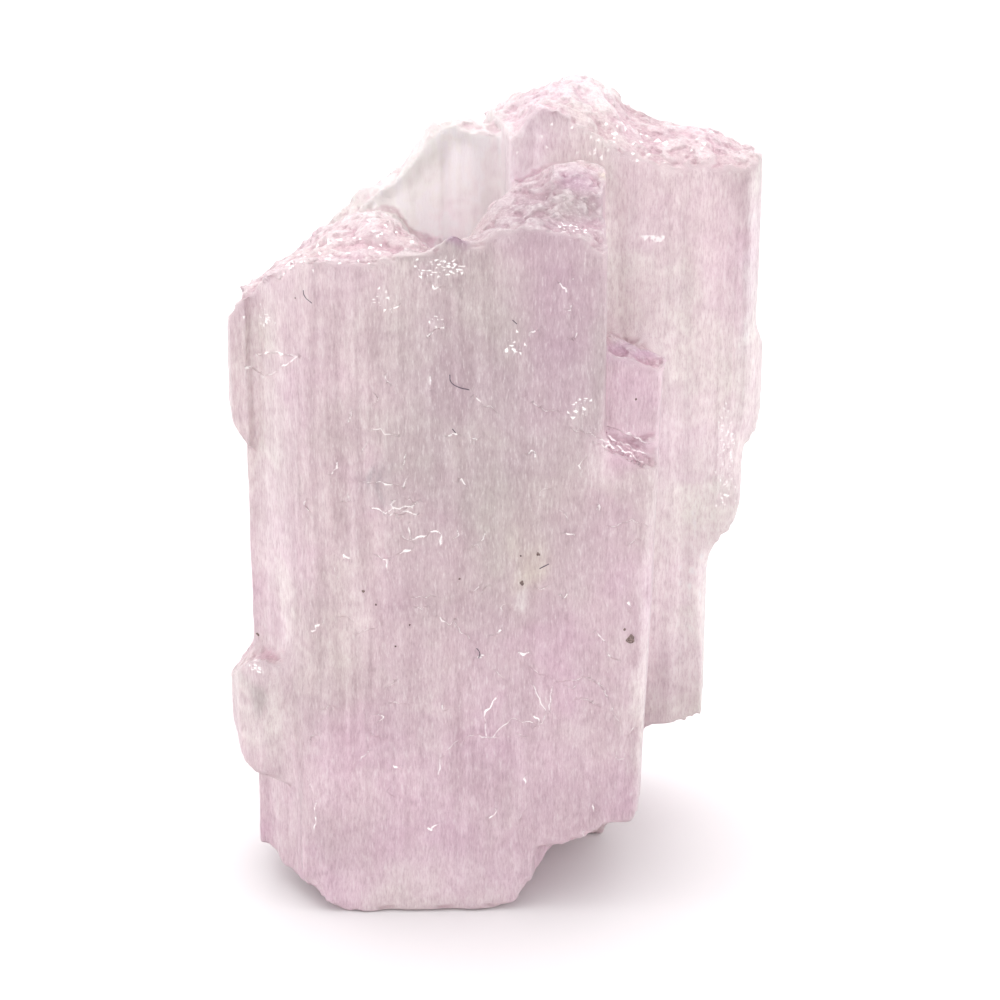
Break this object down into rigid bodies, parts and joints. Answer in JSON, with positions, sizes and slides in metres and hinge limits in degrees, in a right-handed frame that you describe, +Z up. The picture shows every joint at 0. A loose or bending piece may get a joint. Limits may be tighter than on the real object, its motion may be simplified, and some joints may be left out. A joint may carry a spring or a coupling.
{
  "type": "kunzite crystal",
  "caption": "Rough kunzite crystal: a stout sheaf of parallel, lengthwise striated pink blades grown together, ragged at the top and standing on its broken foot.",
  "frame": {"origin": "middle of the bottom of the crystal's box, on the surface it stands on", "axes": "+Z up along the blades, -Y out of the broad front face, +X to the right seen from the front"},
  "size_m": [0.0266, 0.0174, 0.0395],
  "materials": {
    "kunzite": "natural striated crystal faces, vitreous to silky, with broken ends"
  },
  "bodies": {
    "root": {"crystal": "kunzite"}
  },
  "joints": []
}
